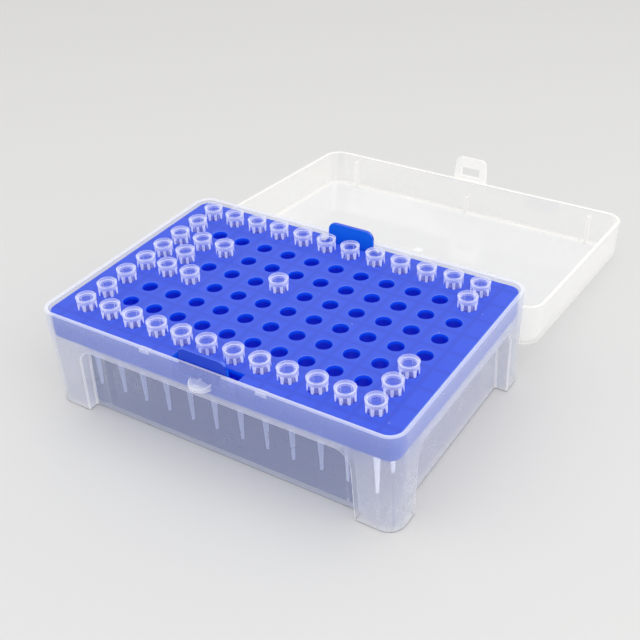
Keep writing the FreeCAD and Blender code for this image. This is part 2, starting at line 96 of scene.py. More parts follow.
class BaseFinish(bpy.types.PropertyGroup):
    """The clear base, moulded in natural polypropylene."""

    tint: bpy.props.FloatVectorProperty(
        name="Tint", description="Colour of the clear plastic", default=(0.50, 0.515, 0.575), **COLOUR)
    cloudiness: bpy.props.FloatProperty(
        name="Cloudiness", description="Share of the light that the plastic scatters instead of passing",
        default=0.27, **FACTOR)
    roughness: bpy.props.FloatProperty(
        name="Roughness", description="Roughness of the moulded faces before grain and wear", default=0.20,
        **FACTOR)
    edge_bend: bpy.props.FloatProperty(
        name="Edge bend", description="Faces that curve more tightly than this, in 1/m, are edges",
        default=500.0, min=0)
    half_length: bpy.props.FloatProperty(
        name="Half length", description="From the box's middle to the outside of its end wall at the rim",
        default=0.0612, **LENGTH)
    step_depth: bpy.props.FloatProperty(
        name="Step depth", description="How far the panels lie behind the feet", default=0.0042, **LENGTH)
    ledge_height: bpy.props.FloatProperty(
        name="Ledge height", description="Height of the ledge over the panels", default=0.0244, **LENGTH)
    half_width: bpy.props.FloatProperty(
        name="Half width", description="From the box's middle to the outside of its front wall at the rim",
        default=0.0412, **LENGTH)
    edge_falloff: bpy.props.FloatProperty(
        name="Edge falloff", description="How fast the plastic clears away from the faces seen edge on",
        default=2.0, min=0.1)
    edge_haze: bpy.props.FloatProperty(
        name="Edge haze", description="Milkiness of the faces seen edge on", default=0.35, **FACTOR)
    edge_tint: bpy.props.FloatVectorProperty(
        name="Edge tint", description="Colour that thick edges scatter to each side",
        default=(0.65, 0.65, 0.655), **COLOUR)
    shine: bpy.props.FloatProperty(
        name="Shine", description="Share of light that the polished skin reflects, face on", default=0.07,
        **FACTOR)
    # Painted shade: the sunken panels get a darker, bluer tint and pass darker, bluer light, in place of the
    # shaded interior seen through them
    panel_shade_tint: bpy.props.FloatVectorProperty(
        name="Panel tint", description="Colour of the long sunken panels", default=(0.21, 0.245, 0.33),
        **COLOUR)
    panel_shade_passed: bpy.props.FloatVectorProperty(
        name="Light through a panel", description="Colour of the light that comes through a panel's face",
        default=(0.74, 0.77, 0.86), **COLOUR)
    lump_glow: bpy.props.FloatProperty(
        name="Lump glow",
        description="Milkiness of the catch, the hinge's lugs and the ledges over the panels", default=0.38,
        **FACTOR)
    step_glow: bpy.props.FloatProperty(
        name="Step glow", description="Milkiness of steps, ribs and thick lumps, face on", default=0.32,
        **FACTOR)
    edge_glow: bpy.props.FloatProperty(
        name="Edge glow", description="Milkiness of rims and rounded edges", default=0.58, **FACTOR)
    # Painted contact shadow: the base's lowest strip, up to this height, gets a dark, cloudy finish where it
    # meets the table
    contact_shadow_height: bpy.props.FloatProperty(
        name="Sole height", description="Height of the rubbed, shaded edge that meets the table",
        default=0.00036, min=0, unit="LENGTH")
    contact_shadow_share: bpy.props.FloatProperty(
        name="Sole share", description="Share of light that the rubbed lower edge stops", default=0.6,
        **FACTOR)
    contact_shadow_tint: bpy.props.FloatVectorProperty(
        name="Sole tint", description="Colour that the rubbed lower edge scatters",
        default=(0.20, 0.20, 0.24), **COLOUR)
    scatter: bpy.props.FloatProperty(
        name="Scatter", description="Share of scattered light that the plastic stops, against its cloudiness",
        default=2.0, min=0, max=4)
    lamp_light: bpy.props.FloatProperty(
        name="Lamp light", description="Share of the lamps' light that comes through one face", default=0.90,
        **FACTOR)
    passed: bpy.props.FloatVectorProperty(
        name="Passed light", description="Colour of the light that comes through one face",
        default=(0.94, 0.945, 0.96), **COLOUR)


class LidFinish(bpy.types.PropertyGroup):
    """The clear lid, glossier than the base."""

    tint: bpy.props.FloatVectorProperty(
        name="Tint", description="Colour of the clear plastic", default=(0.67, 0.675, 0.69), **COLOUR)
    cloudiness: bpy.props.FloatProperty(
        name="Cloudiness", description="Share of the light that the plastic scatters instead of passing",
        default=0.33, **FACTOR)
    roughness: bpy.props.FloatProperty(
        name="Roughness", description="Roughness of the polished faces before smudges", default=0.03,
        **FACTOR)
    edge_bend: bpy.props.FloatProperty(
        name="Edge bend", description="Corners that curve even more tightly than this, in 1/m, are edges",
        default=1400, min=0)
    rim_height: bpy.props.FloatProperty(
        name="Rim height", description="Height of the rim over the table while the lid is shut",
        default=0.0317, **LENGTH)
    edge_falloff: bpy.props.FloatProperty(
        name="Edge falloff", description="How fast the plastic clears away from the faces seen edge on",
        default=1.5, min=0.1)
    edge_haze: bpy.props.FloatProperty(
        name="Edge haze", description="Milkiness of the faces seen edge on", default=0.38, **FACTOR)
    edge_tint: bpy.props.FloatVectorProperty(
        name="Edge tint", description="Colour that thick edges scatter to each side",
        default=(0.67, 0.662, 0.63), **COLOUR)
    shine: bpy.props.FloatProperty(
        name="Shine", description="Share of light that the polished skin reflects, face on", default=0.18,
        **FACTOR)
    corner_bend: bpy.props.FloatProperty(
        name="Corner bend",
        description="Faces that curve more tightly than this, in 1/m, are rounded corners", default=550,
        min=0)
    corner_glow: bpy.props.FloatProperty(
        name="Corner glow", description="Milkiness of the rounded corners between roof and walls",
        default=0.50, **FACTOR)
    wall_glow: bpy.props.FloatProperty(
        name="Wall glow", description="Milkiness of the drafted side walls, face on", default=0.26, **FACTOR)
    step_glow: bpy.props.FloatProperty(
        name="Step glow", description="Milkiness of the tongue and of what else hangs below the rim",
        default=0.65, **FACTOR)
    edge_glow: bpy.props.FloatProperty(
        name="Edge glow", description="Milkiness of rims and rounded edges", default=0.75, **FACTOR)
    scatter: bpy.props.FloatProperty(
        name="Scatter", description="Share of scattered light that the plastic stops, against its cloudiness",
        default=1.0, min=0, max=4)
    lamp_light: bpy.props.FloatProperty(
        name="Lamp light", description="Share of the lamps' light that comes through one face", default=1.0,
        **FACTOR)
    passed: bpy.props.FloatVectorProperty(
        name="Passed light", description="Colour of the light that comes through one face",
        default=(0.985, 0.985, 0.985), **COLOUR)
    gate_radius: bpy.props.FloatProperty(
        name="Gate mark radius", description="Radius of the mark that the mould's gate leaves in the roof",
        default=0.0016, **LENGTH)


class TrayFinish(bpy.types.PropertyGroup):
    """The blue tray that holds the tips."""

    colour: bpy.props.FloatVectorProperty(
        name="Colour", description="Colour of the blue plastic", default=(0.037, 0.103, 0.84), **COLOUR)
    # Painted light: tabs and side faces along the plate's edge get this brighter blue, in place of light
    # through thin walls
    painted_side_colour: bpy.props.FloatVectorProperty(
        name="Thin walls", description="Colour of the blue plastic where it is thin and light comes through",
        default=(0.006, 0.175, 0.93), **COLOUR)
    # Painted shade: the holes' walls get this darker blue
    painted_hole_shade: bpy.props.FloatVectorProperty(
        name="Hole walls", description="Colour of the holes' walls", default=(0.001, 0.018, 0.42), **COLOUR)
    roughness: bpy.props.FloatProperty(
        name="Roughness", description="Roughness of the satin top before grain and wear", default=0.42,
        **FACTOR)
    plate: bpy.props.FloatProperty(
        name="Plate", description="Thickness of the plate between the holes", default=0.0016, unit="LENGTH",
        subtype="DISTANCE", min=0.0001)
    tab_height: bpy.props.FloatProperty(
        name="Tab height", description="How far the finger tabs stand above the plate", default=0.0052,
        **LENGTH)
    pitch: bpy.props.FloatProperty(
        name="Hole pitch", description="Distance between neighbouring holes", default=0.009, unit="LENGTH",
        subtype="DISTANCE", min=0.001)
    # Painted glow: the holes' walls emit these colours, in place of light that comes through the plate and the
    # sleeve
    painted_top_glow: bpy.props.FloatVectorProperty(
        name="Top glow", description="Light that comes through the plate into the top of a hole",
        default=(0.0, 0.045, 0.50), **COLOUR)
    painted_deep_glow: bpy.props.FloatVectorProperty(
        name="Deep glow", description="Light that comes through the sleeve into the depth of a hole",
        default=(0.0, 0.002, 0.20), **COLOUR)
    # Painted shade: the tabs' outer faces get this darker blue
    painted_outer_shade: bpy.props.FloatVectorProperty(
        name="Outer colour", description="Colour of the tabs' outer faces, away from the tray",
        default=(0.006, 0.055, 0.68), **COLOUR)
    tab_sheen: bpy.props.FloatProperty(
        name="Tab sheen", description="Specular level of the lifting tabs", default=0.2, **FACTOR)
    lamp_light: bpy.props.FloatVectorProperty(
        name="Lamp light", description="Colour of the lamps' light that comes through one face",
        default=(0.10, 0.18, 0.50), **COLOUR)


class TipFinish(bpy.types.PropertyGroup):
    """The clear tips."""

    tint: bpy.props.FloatVectorProperty(
        name="Tint", description="Colour of the clear plastic", default=(0.50, 0.51, 0.53), **COLOUR)
    cloudiness: bpy.props.FloatProperty(
        name="Cloudiness", description="Share of the light that the plastic scatters instead of passing",
        default=0.10, **FACTOR)
    roughness: bpy.props.FloatProperty(
        name="Roughness", description="Roughness of the tips before grain", default=0.10, **FACTOR)
    edge_bend: bpy.props.FloatProperty(
        name="Edge bend", description="Faces that curve more tightly than this, in 1/m, are edges",
        default=900.0, min=0)
    edge_falloff: bpy.props.FloatProperty(
        name="Edge falloff", description="How fast the plastic clears away from the faces seen edge on",
        default=1.5, min=0.1)
    edge_haze: bpy.props.FloatProperty(
        name="Edge haze", description="Milkiness of the faces seen edge on", default=0.7, **FACTOR)
    edge_tint: bpy.props.FloatVectorProperty(
        name="Edge tint", description="Colour that thick edges scatter to each side",
        default=(0.66, 0.66, 0.67), **COLOUR)
    shine: bpy.props.FloatProperty(
        name="Shine", description="Share of light that the polished skin reflects, face on", default=0.07,
        **FACTOR)
    edge_glow: bpy.props.FloatProperty(
        name="Edge glow", description="Milkiness of rims and rounded edges", default=0.65, **FACTOR)
    band_height: bpy.props.FloatProperty(
        name="Band height", description="Height over the tray where a collar's plain band starts",
        default=0.0024, **LENGTH)
    core_radius: bpy.props.FloatProperty(
        name="Core radius", description="Radius of a collar's wall between its ribs", default=0.00272,
        **LENGTH)
    band_glow: bpy.props.FloatProperty(
        name="Band glow", description="Milkiness of a collar's plain band, face on", default=0.30, **FACTOR)
    tube_tint: bpy.props.FloatVectorProperty(
        name="Tube tint", description="Colour that the tapered tubes scatter to each side",
        default=(0.80, 0.80, 0.82), **COLOUR)
    # Painted glow: the tubes emit this colour, in place of light carried down from the collar
    piped_light: bpy.props.FloatVectorProperty(
        name="Piped light", description="Light that a tip's wall carries down from its collar and gives off",
        default=(0.45, 0.46, 0.50), **COLOUR)
    tube_glow: bpy.props.FloatProperty(
        name="Tube glow", description="Milkiness of the tapered tubes under the tray", default=0.6, **FACTOR)
    scatter: bpy.props.FloatProperty(
        name="Scatter", description="Share of scattered light that the plastic stops, against its cloudiness",
        default=2.0, min=0, max=4)
    lamp_light: bpy.props.FloatProperty(
        name="Lamp light", description="Share of the lamps' light that comes through one face", default=0.98,
        **FACTOR)
    passed: bpy.props.FloatVectorProperty(
        name="Passed light", description="Colour of the light that comes through one face",
        default=(0.965, 0.97, 0.985), **COLOUR)


class StageSettings(bpy.types.PropertyGroup):
    """Floor, lamps and camera."""

    floor_near: bpy.props.FloatVectorProperty(
        name="Near floor", description="Floor colour in front of the box", default=(0.79, 0.788, 0.785),
        **COLOUR)
    # Painted shade: the floor behind the box gets this darker colour
    painted_shade_floor_far: bpy.props.FloatVectorProperty(
        name="Far floor", description="Floor colour behind the box", default=(0.715, 0.71, 0.70), **COLOUR)
    key_power: bpy.props.FloatProperty(
        name="Key lamp", description="Power that the soft lamps take their shares of", default=2.4,
        unit="POWER", min=0)
    sky_level: bpy.props.FloatProperty(
        name="Surround", description="Brightness of the white surround", default=0.80, min=0)
    camera_height: bpy.props.FloatProperty(
        name="Camera height", description="Height of the lens over the floor", default=0.2015, unit="LENGTH",
        subtype="DISTANCE", min=0.01)


# ------------------------ shader node helpers


def node(tree, kind, inputs=None, **settings):
    """A new node of that kind. inputs maps a socket's name or number to a value, or to the socket that
    feeds it."""
    made = tree.nodes.new(kind)
    for key, value in settings.items():
        setattr(made, key, value)
    for key, value in (inputs or {}).items():
        feed(tree, made.inputs[key], value)
    return made


def feed(tree, socket, value):
    """Links a socket to another, or gives it a plain value."""
    if isinstance(value, bpy.types.NodeSocket):
        tree.links.new(value, socket)
    else:
        socket.default_value = value


def maths(tree, operation, a, b=0.0, clamp=False):
    """The output of a Math node."""
    made = tree.nodes.new("ShaderNodeMath")
    made.operation = operation
    made.use_clamp = clamp
    feed(tree, made.inputs[0], a)
    feed(tree, made.inputs[1], b)
    return made.outputs[0]


def ramp(tree, value, low, high, out_low=0.0, out_high=1.0):
    """Maps low..high smoothly to out_low..out_high."""
    made = node(tree, "ShaderNodeMapRange", interpolation_type="SMOOTHSTEP")
    for key, item in zip(("Value", "From Min", "From Max", "To Min", "To Max"),
                         (value, low, high, out_low, out_high)):
        feed(tree, made.inputs[key], item)
    return made.outputs["Result"]


def weighed(tree, base, marks, weights):
    """base plus each of those marks times its weight, kept between 0 and 1."""
    for count, (name, weight) in enumerate(weights.items(), 1):
        part = maths(tree, "MULTIPLY", marks[name], weight)
        base = maths(tree, "ADD", base, part, clamp=count == len(weights))
    return base


def mix(tree, factor, a, b):
    """The colour between a and b, each a socket or three numbers."""
    a, b = (c if isinstance(c, bpy.types.NodeSocket) else (*c, 1.0) for c in (a, b))
    return node(tree, "ShaderNodeMix", {0: factor, 6: a, 7: b}, data_type="RGBA").outputs[2]


def blend(tree, factor, a, b):
    """The output of a Mix Shader node."""
    return node(tree, "ShaderNodeMixShader", {0: factor, 1: a, 2: b}).outputs[0]


def transparent(tree, colour):
    """The output of a Transparent node of that colour."""
    return node(tree, "ShaderNodeBsdfTransparent", {"Color": (*colour, 1.0)}).outputs[0]


def looks_up(tree):
    """The upward part of the shading normal."""
    normal = tree.nodes.new("ShaderNodeNewGeometry").outputs["Normal"]
    return node(tree, "ShaderNodeSeparateXYZ", {0: normal}).outputs["Z"]


def noise(tree, position, scale, detail=3.0, roughness=0.55, distortion=0.0):
    """The factor of a Noise Texture."""
    return node(tree, "ShaderNodeTexNoise", {
        "Vector": position, "Scale": scale, "Detail": detail,
        "Roughness": roughness, "Distortion": distortion}).outputs["Fac"]


def group(name, ins, outs):
    """A shader node group with those sockets, its input node and its output node. ins and outs map a name to
    a socket type, or to a type and a default."""
    tree = bpy.data.node_groups.new(name, "ShaderNodeTree")
    for sockets, way in ((ins, "INPUT"), (outs, "OUTPUT")):
        for label, kind in sockets.items():
            kind, default = kind if isinstance(kind, tuple) else (kind, None)
            made = tree.interface.new_socket(label, in_out=way, socket_type="NodeSocket" + kind)
            if default is not None:
                made.default_value = default
    return tree, tree.nodes.new("NodeGroupInput"), tree.nodes.new("NodeGroupOutput")


def use(tree, made_group, **inputs):
    """Places a node group in a material. Underscores in a keyword stand for spaces."""
    made = tree.nodes.new("ShaderNodeGroup")
    made.node_tree = made_group
    for key, value in inputs.items():
        feed(tree, made.inputs[key.replace("_", " ")], value)
    return made.outputs


# ------------------------ effects that several finishes share


def moulding_grain():
    """The fine texture that a steel mould leaves, with the slow waviness of a thin moulded wall."""
    tree, into, out = group("Moulding grain",
                            {"Position": "Vector", "Grain size": ("Float", 0.0004), "Waviness": ("Float", 0.3)},
                            {"Height": "Float", "Mask": "Float"})
    position = into.outputs["Position"]
    fine_scale = maths(tree, "DIVIDE", 1.0, into.outputs["Grain size"])
    fine = noise(tree, position, fine_scale, detail=2.0, roughness=0.65)
    slow = noise(tree, position, 90.0, detail=1.0, roughness=0.4)
    waves = maths(tree, "MULTIPLY", slow, into.outputs["Waviness"])
    feed(tree, out.inputs["Height"], maths(tree, "ADD", maths(tree, "MULTIPLY", fine, 0.12), waves))
    feed(tree, out.inputs["Mask"], fine)
    return tree


def hair_scratches():
    """Short hairline scratches in several directions, each a thin arc that starts and fades."""
    tree, into, out = group("Hair scratches",
                            {"Position": "Vector", "Amount": ("Float", 0.5)},
                            {"Mask": "Float"})
    position = into.outputs["Position"]
    sway = node(tree, "ShaderNodeTexNoise", {"Vector": position, "Scale": 35.0, "Detail": 0.0}).outputs["Color"]
    bent = node(tree, "ShaderNodeVectorMath", {0: sway, 1: (0.004, 0.004, 0.004), 2: position},
                operation="MULTIPLY_ADD").outputs[0]
    total = None
    for turn, scale, seed in ((0.35, 150.0, 3.1), (1.75, 210.0, 7.7)):
        turned = node(tree, "ShaderNodeMapping", {
            "Vector": bent, "Location": (seed, seed * 0.7, seed * 0.3), "Rotation": (0.3 * turn, 0.2, turn),
            "Scale": (1.0, 0.09, 0.55)}).outputs[0]
        edges = node(tree, "ShaderNodeTexVoronoi", {"Vector": turned, "Scale": scale},
                     feature="DISTANCE_TO_EDGE").outputs["Distance"]
        line = ramp(tree, edges, 0.0, 0.012, 1.0, 0.0)
        patch = ramp(tree, noise(tree, position, 160.0 + 30.0 * seed, detail=0.0), 0.56, 0.66)
        layer = maths(tree, "MULTIPLY", line, patch)
        total = layer if total is None else maths(tree, "MAXIMUM", total, layer)
    feed(tree, out.inputs["Mask"], maths(tree, "MULTIPLY", total, into.outputs["Amount"], clamp=True))
    return tree


def dust_specks():
    """Sparse specks of dust on faces that look up."""
    tree, into, out = group("Dust specks",
                            {"Position": "Vector", "Spacing": ("Float", 0.004), "Share": ("Float", 0.12)},
                            {"Mask": "Float"})
    cells = node(tree, "ShaderNodeTexVoronoi", {
        "Vector": into.outputs["Position"], "Scale": maths(tree, "DIVIDE", 1.0, into.outputs["Spacing"])})
    speck = ramp(tree, cells.outputs["Distance"], 0.03, 0.08, 1.0, 0.0)
    parts = node(tree, "ShaderNodeSeparateColor", {"Color": cells.outputs["Color"]}).outputs
    chosen = maths(tree, "LESS_THAN", parts["Red"], into.outputs["Share"])
    upward = ramp(tree, looks_up(tree), 0.3, 0.9)
    feed(tree, out.inputs["Mask"], maths(tree, "MULTIPLY", maths(tree, "MULTIPLY", speck, chosen), upward))
    return tree


def handling_smudges():
    """Broad, soft patches where the plastic has been handled and wiped."""
    tree, into, out = group("Handling smudges",
                            {"Position": "Vector", "Size": ("Float", 0.02)},
                            {"Mask": "Float"})
    scale = maths(tree, "DIVIDE", 1.0, into.outputs["Size"])
    broad = noise(tree, into.outputs["Position"], scale, detail=1.0)
    streaked = node(tree, "ShaderNodeMapping", {
        "Vector": into.outputs["Position"], "Rotation": (0.0, 0.0, 0.5), "Scale": (1.0, 0.2, 1.0)}).outputs[0]
    wiped = noise(tree, streaked, maths(tree, "MULTIPLY", scale, 9.0), detail=1.0)
    feed(tree, out.inputs["Mask"], maths(tree, "MULTIPLY", ramp(tree, broad, 0.42, 0.7),
                                         ramp(tree, wiped, 0.3, 0.7, 0.35, 1.0)))
    return tree


def gate_mark():
    """The round scar of a mould gate: a shallow dish with a raised nib in its middle."""
    tree, into, out = group("Gate mark",
                            {"Position": "Vector", "Centre": "Vector", "Radius": ("Float", 0.0016)},
                            {"Height": "Float", "Mask": "Float"})
    offset = node(tree, "ShaderNodeVectorMath", {
        0: into.outputs["Position"], 1: into.outputs["Centre"]}, operation="SUBTRACT").outputs[0]
    flat = node(tree, "ShaderNodeVectorMath", {0: offset, 1: (1.0, 1.0, 0.0)}, operation="MULTIPLY").outputs[0]
    away = node(tree, "ShaderNodeVectorMath", {0: flat}, operation="LENGTH").outputs["Value"]
    share = maths(tree, "DIVIDE", away, into.outputs["Radius"])
    rim = maths(tree, "MULTIPLY", ramp(tree, share, 0.8, 1.0), ramp(tree, share, 1.0, 1.25, 1.0, 0.0))
    nib = ramp(tree, share, 0.15, 0.4, 1.0, 0.0)
    feed(tree, out.inputs["Height"], maths(tree, "ADD", rim, nib))
    feed(tree, out.inputs["Mask"], ramp(tree, share, 0.9, 1.3, 1.0, 0.0))
    return tree


def sink_lines():
    """Faint hollows in a moulded plate, over its webs: along the middle between the rows and the columns of
    holes."""
    tree, into, out = group("Sink lines",
                            {"Position": "Vector", "Pitch": ("Float", 0.009), "Width": ("Float", 0.0012)},
                            {"Depth": "Float"})
    parts = node(tree, "ShaderNodeSeparateXYZ", {0: into.outputs["Position"]}).outputs
    pitch = into.outputs["Pitch"]
    aside = maths(tree, "MULTIPLY", pitch, PITCHES_ASIDE)
    half = maths(tree, "MULTIPLY", pitch, 0.5)
    total = None
    for axis in ("X", "Y"):
        along = maths(tree, "PINGPONG", maths(tree, "ADD", parts[axis], aside), half)
        line = ramp(tree, along, 0.0, into.outputs["Width"], 1.0, 0.0)
        total = line if total is None else maths(tree, "MAXIMUM", total, line)
    feed(tree, out.inputs["Depth"], total)
    return tree


EFFECTS = {}


def effect(name):
    """A shared node group by its function's name. Each is built once."""
    if not EFFECTS:
        for maker in (moulding_grain, hair_scratches, dust_specks, handling_smudges, gate_mark, sink_lines):
            EFFECTS[maker.__name__] = maker()
    return EFFECTS[name]


# ------------------------ finishes


def new_material(name):
    """An empty material and the node tree and output node that it holds."""
    made = bpy.data.materials.new(name)
    made.use_nodes = True
    made.node_tree.nodes.clear()
    return made, made.node_tree, made.node_tree.nodes.new("ShaderNodeOutputMaterial")


def object_position(tree):
    """The piece's own coordinates, in metres."""
    return tree.nodes.new("ShaderNodeTexCoord").outputs["Object"]


def wear_marks(tree, position, scratches, dust_spacing, dust_share, smudge_size):
    """The masks of the wear that every plastic shows."""
    return {
        "scratches": use(tree, effect("hair_scratches"), Position=position, Amount=scratches)["Mask"],
        "dust": use(tree, effect("dust_specks"), Position=position, Spacing=dust_spacing,
                    Share=dust_share)["Mask"],
        "smudges": use(tree, effect("handling_smudges"), Position=position, Size=smudge_size)["Mask"],
    }


def clear_plastic(name, finish, milk_share, tint, roughness, grain, scratches, smudges,
                  gate=None, passed=None, shine=None, piped=None, both=False):
    """A clear moulded plastic with a little milk in it, whose lumps and edges are milkier than its walls.

    A ray meets the milk where it enters a wall and leaves the wall freely; with both set, it meets the milk
    on the way out too. Lamps shine through, so that what is inside is lit. Scattered light meets a partly
    see-through stand-in that keeps what is under the plastic as bright as it would be. gate is the place of a
    mould gate's scar, passed the colour of the light that comes through, shine the share that the skin
    reflects, and piped the colour of a painted glow that the wall emits, in place of light that it
    carries along and gives off."""
    made, tree, out = new_material(name)
    position = object_position(tree)
    texture = use(tree, effect("moulding_grain"), Position=position, Grain_size=grain, Waviness=0.25)
    marks = wear_marks(tree, position, scratches, 0.0035, 0.10, 0.022)
    marks["grain"] = texture["Mask"]
    marks["even grain"] = maths(tree, "SUBTRACT", texture["Mask"], 0.5)
    rough = weighed(tree, roughness, marks, {
        "grain": 0.4 * roughness, "smudges": smudges, "scratches": 0.25, "dust": 0.5})
    facing = node(tree, "ShaderNodeLayerWeight", {"Blend": 0.5}).outputs["Facing"]
    haze = maths(tree, "MULTIPLY", maths(tree, "POWER", facing, finish.edge_falloff), finish.edge_haze)
    haze = weighed(tree, maths(tree, "ADD", haze, milk_share), marks, {
        "even grain": 0.008, "smudges": 0.02, "scratches": 0.03, "dust": 0.4})
    height = texture["Height"]
    if gate is not None:
        scar = use(tree, effect("gate_mark"), Position=position, Centre=gate, Radius=finish.gate_radius)
        height = maths(tree, "ADD", height, maths(tree, "MULTIPLY", scar["Height"], GATE_HEIGHT))
        haze = weighed(tree, haze, {"scar": scar["Mask"]}, {"scar": GATE_HAZE})
    bump = node(tree, "ShaderNodeBump", {"Strength": 0.12, "Distance": 0.00002, "Height": height}).outputs[0]
    lit = node(tree, "ShaderNodeBsdfDiffuse", {"Color": (*tint, 1.0), "Normal": bump}).outputs[0]
    glow = node(tree, "ShaderNodeBsdfTranslucent", {"Color": (*tint, 1.0), "Normal": bump}).outputs[0]
    milk = node(tree, "ShaderNodeAddShader", {0: lit, 1: glow}).outputs[0]
    # Painted glow: an emission added to the milk
    if piped is not None:
        painted_emission = node(tree, "ShaderNodeEmission", {"Color": (*piped, 1.0), "Strength": 1.0}).outputs[0]
        milk = node(tree, "ShaderNodeAddShader", {0: milk, 1: painted_emission}).outputs[0]
        made.cycles.emission_sampling = "NONE"
    through = transparent(tree, passed or finish.passed)
    edge_on, face_on = (SKIN_EDGE_ON, finish.shine) if shine is None else (shine, shine)
    mirrored = maths(tree, "MULTIPLY", maths(tree, "POWER", facing, SKIN_POWER), edge_on)
    mirrored = maths(tree, "ADD", mirrored, face_on)
    gloss = node(tree, "ShaderNodeBsdfGlossy", {"Color": WHITE, "Roughness": rough, "Normal": bump}).outputs[0]
    skin = blend(tree, mirrored, blend(tree, haze, through, milk), gloss)
    stand_in = node(tree, "ShaderNodeBsdfPrincipled", {
        "Base Color": (*(min(STAND_IN_BRIGHTEST, STAND_IN_GAIN * part) for part in tint), 1.0),
        "Roughness": rough, "Normal": bump,
        "Alpha": min(1.0, finish.scatter * milk_share + STAND_IN_LEAST)}).outputs[0]
    rays = tree.nodes.new("ShaderNodeLightPath").outputs
    seen = blend(tree, rays["Is Diffuse Ray"], skin, stand_in)
    if not both:
        leaving = tree.nodes.new("ShaderNodeNewGeometry").outputs["Backfacing"]
        seen = blend(tree, leaving, seen, through)
    lamp_way = transparent(tree, (finish.lamp_light,) * 3)
    tree.links.new(blend(tree, rays["Is Shadow Ray"], seen, lamp_way), out.inputs["Surface"])
    return made


def clear_makers(owner, finish, **wear):
    """Two makers of a piece's clear plastics, which share its finish and wear: one for faces of any kind, and
    one for rims and rounded edges, too rough and too tightly curved to mirror a lamp."""

    def clear(kind, milk_share, tint, roughness=finish.roughness, **more):
        return clear_plastic("Clear %s %s" % (owner, kind), finish, milk_share, tint, roughness, **wear, **more)

    def rounded(kind, milk_share):
        return clear(kind, milk_share, finish.edge_tint, ROUGH_SKIN, shine=DULL_SHINE)

    return clear, rounded


def face_bends(mesh):
    """How tightly each face curves, in 1/m: how fast the shading normal turns across it. The roundings of a
    moulding's edges curve more tightly than its walls."""
    corners = len(mesh.loops)
    normals = np.empty(corners * 3, np.float32)
    mesh.corner_normals.foreach_get("vector", normals)
    which = np.empty(corners, np.int32)
    mesh.loops.foreach_get("vertex_index", which)
    places = np.empty(len(mesh.vertices) * 3, np.float32)
    mesh.vertices.foreach_get("co", places)
    starts = np.empty(len(mesh.polygons), np.int32)
    mesh.polygons.foreach_get("loop_start", starts)
    normals = normals.reshape(-1, 3).astype(float)
    places = places.reshape(-1, 3)[which].astype(float)
    turns = [normals[starts + corner] - normals[starts] for corner in (1, 2)]
    sides = [places[starts + corner] - places[starts] for corner in (1, 2)]

    def dots(a, b):
        return np.einsum("ij,ij->i", a, b)

    first, second, between = dots(sides[0], sides[0]), dots(sides[1], sides[1]), dots(sides[0], sides[1])
    area = first * second - between ** 2
    turned = (second * dots(turns[0], turns[0]) + first * dots(turns[1], turns[1])
              - 2.0 * between * dots(turns[0], turns[1]))
    return np.sqrt(np.maximum(turned, 0.0) / np.maximum(area, 1e-20))


def face_vectors(mesh, kind):
    """Each face's "normal" or "center"."""
    vectors = np.empty(len(mesh.polygons) * 3, np.float32)
    mesh.polygons.foreach_get(kind, vectors)
    return vectors.reshape(-1, 3)


